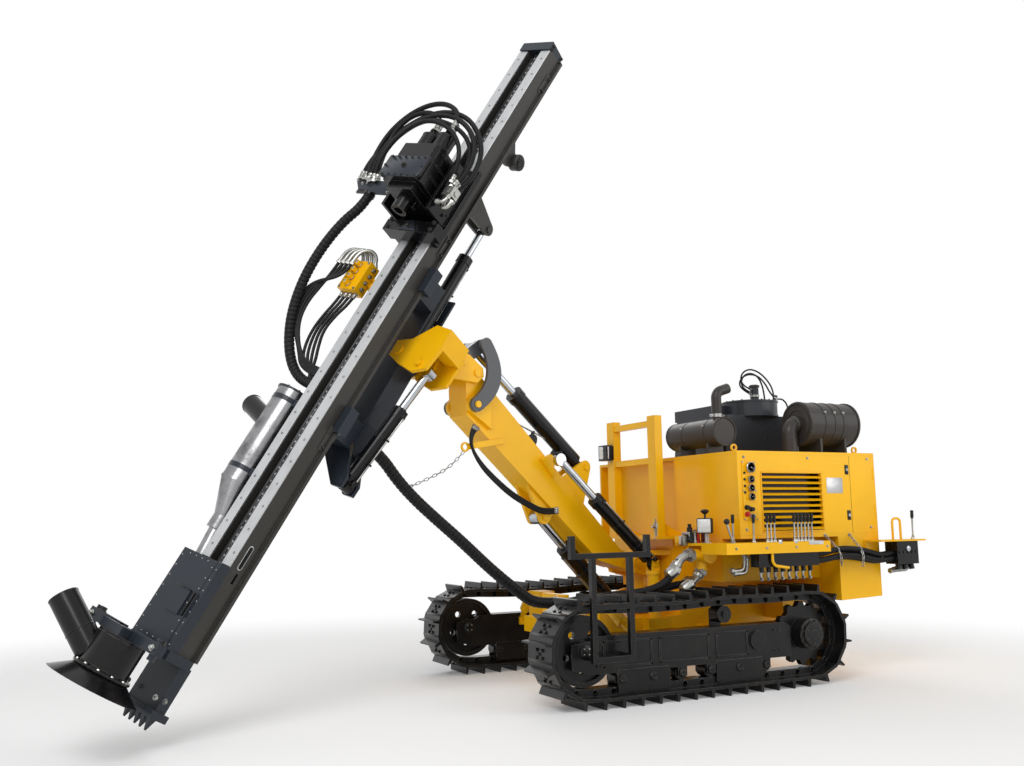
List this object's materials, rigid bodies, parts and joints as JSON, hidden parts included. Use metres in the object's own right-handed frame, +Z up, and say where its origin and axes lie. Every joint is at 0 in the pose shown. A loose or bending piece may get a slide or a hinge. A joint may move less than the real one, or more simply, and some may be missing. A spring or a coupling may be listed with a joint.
{
  "type": "crawler drilling rig",
  "caption": "Crawler drilling rig with a yellow hooded body on steel tracks and a long leaning feed beam with a top drill head on an articulated boom.",
  "frame": {"origin": "on the ground under the middle of the bounding box", "axes": "+X points forward to the drill, +Y to the rig's left, +Z up"},
  "size_m": [5.8725, 2.1448, 4.4116],
  "materials": {
    "body_yellow": "semi-gloss",
    "feed_slate": "semi-gloss",
    "beam_grey": "satin",
    "track_black": "satin",
    "linkage_grey": "satin",
    "roof_grey": "satin",
    "head_black": "semi-gloss",
    "rail_steel": "brushed",
    "rod_chrome": "polished",
    "hose_rubber": "matte",
    "separator_steel": "polished",
    "lamp_black": "matte"
  },
  "bodies": {
    "chassis": {"track_left": "track_black", "track_right": "track_black", "track_frame_left": "track_black", "track_frame_right": "track_black", "idlers": "track_black", "sprockets": "track_black", "track_rollers": "track_black", "step_rack": "track_black", "main_frame": "body_yellow", "levelling_cylinders": "body_yellow", "lower_body": "body_yellow", "hood_left": "body_yellow", "hood_right": "body_yellow", "hood_ends": "body_yellow", "hood_roof": "body_yellow", "radiator_core": "roof_grey", "engine_block": "roof_grey", "muffler": "roof_grey", "dust_collector": "roof_grey", "air_filter": "roof_grey", "portal": "body_yellow", "work_lamps": "lamp_black", "control_shelf": "body_yellow", "control_levers": "head_black", "gauge_panel": "body_yellow", "control_valves": "head_black", "air_valve": "body_yellow", "side_hoses": "hose_rubber", "main_hose": "hose_rubber"},
    "swing_post": {"swing_post": "body_yellow"},
    "boom": {"boom": "body_yellow"},
    "lift_barrel": {"lift_barrel": "beam_grey"},
    "lift_rod": {"lift_rod": "rod_chrome"},
    "tilt_barrel": {"tilt_barrel": "beam_grey"},
    "tilt_rod": {"tilt_rod": "rod_chrome"},
    "swing_anchor": {"swing_anchor": "body_yellow"},
    "swing_barrel": {"swing_barrel": "beam_grey"},
    "swing_rod": {"swing_rod": "rod_chrome"},
    "rocker": {"rocker": "linkage_grey"},
    "head_link": {"head_link": "linkage_grey"},
    "boom_head": {"boom_head": "body_yellow"},
    "cradle": {"cradle": "feed_slate", "extension_barrel": "beam_grey"},
    "feed_swing_barrel": {"feed_swing_barrel": "beam_grey"},
    "feed_swing_rod": {"feed_swing_rod": "rod_chrome"},
    "feed": {"feed_beam": "beam_grey", "feed_rails": "rail_steel", "feed_chain": "rail_steel", "beam_covers": "beam_grey", "foot_bracket": "feed_slate", "dust_hood": "head_black", "dust_separator": "separator_steel", "hydraulic_block": "body_yellow", "extension_rod": "rod_chrome", "feed_hose": "hose_rubber"},
    "carriage": {"head_carriage": "head_black", "drill_gearbox": "head_black"},
    "spindle": {"drill_spindle": "head_black"}
  },
  "joints": [
    {"name": "boom_swing", "type": "hinge", "parent": "chassis", "child": "swing_post", "pos_m": [-1.13626, -0.04639, 0.5], "axis": [0, 0, 1], "range_deg": [-30, 15], "deforming": ["main_hose"]},
    {"name": "boom_lift", "type": "hinge", "parent": "swing_post", "child": "boom", "pos_m": [-0.96626, -0.00083, 0.82], "axis": [0.2588, -0.9659, 0], "range_deg": [-20, 15], "deforming": ["main_hose"]},
    {"name": "head_tilt", "type": "hinge", "parent": "boom", "child": "boom_head", "pos_m": [0.48552, 0.38817, 2.101], "axis": [0.2588, -0.9659, 0], "range_deg": [-20, 25], "deforming": ["main_hose"]},
    {"name": "mast_swing", "type": "hinge", "parent": "boom_head", "child": "cradle", "pos_m": [0.93574, 0.50862, 2.163], "axis": [0.74, 0.5, 0.4499], "range_deg": [-25, 25], "deforming": ["main_hose"]},
    {"name": "mast_slide", "type": "slide", "parent": "cradle", "child": "feed", "axis": [-0.5195, 0, 0.8545], "range_m": [-0.1, 0.5]},
    {"name": "head_feed", "type": "slide", "parent": "feed", "child": "carriage", "axis": [-0.5195, 0, 0.8545], "range_m": [-2.2, 1], "deforming": ["feed_hose"]},
    {"name": "spindle_spin", "type": "hinge", "parent": "carriage", "child": "spindle", "pos_m": [1.08824, 0.79758, 3.04687], "axis": [-0.5195, 0, 0.8545], "continuous": true},
    {"name": "rocker_turn", "type": "hinge", "parent": "boom", "child": "rocker", "pos_m": [0.50774, 0.39413, 1.892], "axis": [0.2588, -0.9659, 0], "range_deg": [-10, 12]},
    {"name": "link_turn", "type": "hinge", "parent": "rocker", "child": "head_link", "pos_m": [0.42467, 0.37187, 2.289], "axis": [0.2588, -0.9659, 0], "range_deg": [-10, 12]},
    {"name": "tilt_cylinder_turn", "type": "hinge", "parent": "boom", "child": "tilt_barrel", "pos_m": [-0.51614, 0.11978, 1.519], "axis": [0.2588, -0.9659, 0], "range_deg": [-2, 2]},
    {"name": "tilt_cylinder_stroke", "type": "slide", "parent": "tilt_barrel", "child": "tilt_rod", "axis": [0.7577, 0.203, 0.6202], "range_m": [-0.08, 0.07]},
    {"name": "lift_cylinder_turn", "type": "hinge", "parent": "swing_post", "child": "lift_barrel", "pos_m": [-0.81751, 0.03902, 0.54], "axis": [0.2588, -0.9659, 0], "range_deg": [-20, 16]},
    {"name": "lift_cylinder_stroke", "type": "slide", "parent": "lift_barrel", "child": "lift_rod", "axis": [0.7277, 0.195, 0.6575], "range_m": [-0.12, 0.1]},
    {"name": "swing_cylinder_turn", "type": "hinge", "parent": "chassis", "child": "swing_anchor", "pos_m": [-0.99926, 0.30362, 0.826], "axis": [0, 0, 1], "range_deg": [-36, 19]},
    {"name": "swing_cylinder_pitch", "type": "hinge", "parent": "swing_anchor", "child": "swing_barrel", "pos_m": [-0.99926, 0.30362, 0.826], "axis": [0.1418, -0.9899, 0], "range_deg": [-22, 17]},
    {"name": "swing_cylinder_stroke", "type": "slide", "parent": "swing_barrel", "child": "swing_rod", "axis": [0.7412, 0.1062, 0.6629], "range_m": [-0.08, 0.15]},
    {"name": "feed_cylinder_turn", "type": "hinge", "parent": "cradle", "child": "feed_swing_barrel", "pos_m": [1.36058, 0.59522, 1.36801], "axis": [0.74, 0.5, 0.4499], "range_deg": [-2, 2]},
    {"name": "feed_cylinder_stroke", "type": "slide", "parent": "feed_swing_barrel", "child": "feed_swing_rod", "axis": [-0.5758, 0.1252, 0.8079], "range_m": [-0.11, 0.11]}
  ],
  "couplings": [
    {"joint": "rocker_turn", "follows": "head_tilt", "ratio": 0.43},
    {"joint": "link_turn", "follows": "head_tilt", "ratio": 0.41},
    {"joint": "tilt_cylinder_turn", "follows": "head_tilt", "ratio": 0.06},
    {"joint": "tilt_cylinder_stroke", "follows": "head_tilt", "m_per_rad": -0.158},
    {"joint": "lift_cylinder_turn", "follows": "boom_lift", "ratio": 0.94},
    {"joint": "lift_cylinder_stroke", "follows": "boom_lift", "m_per_rad": 0.31},
    {"joint": "swing_cylinder_turn", "follows": "boom_swing", "ratio": 1.14},
    {"joint": "swing_cylinder_pitch", "follows": "boom_lift", "ratio": 1.03},
    {"joint": "swing_cylinder_stroke", "follows": "boom_swing", "m_per_rad": -0.2636},
    {"joint": "feed_cylinder_turn", "follows": "mast_swing", "ratio": 0.044},
    {"joint": "feed_cylinder_stroke", "follows": "mast_swing", "m_per_rad": -0.2212}
  ]
}
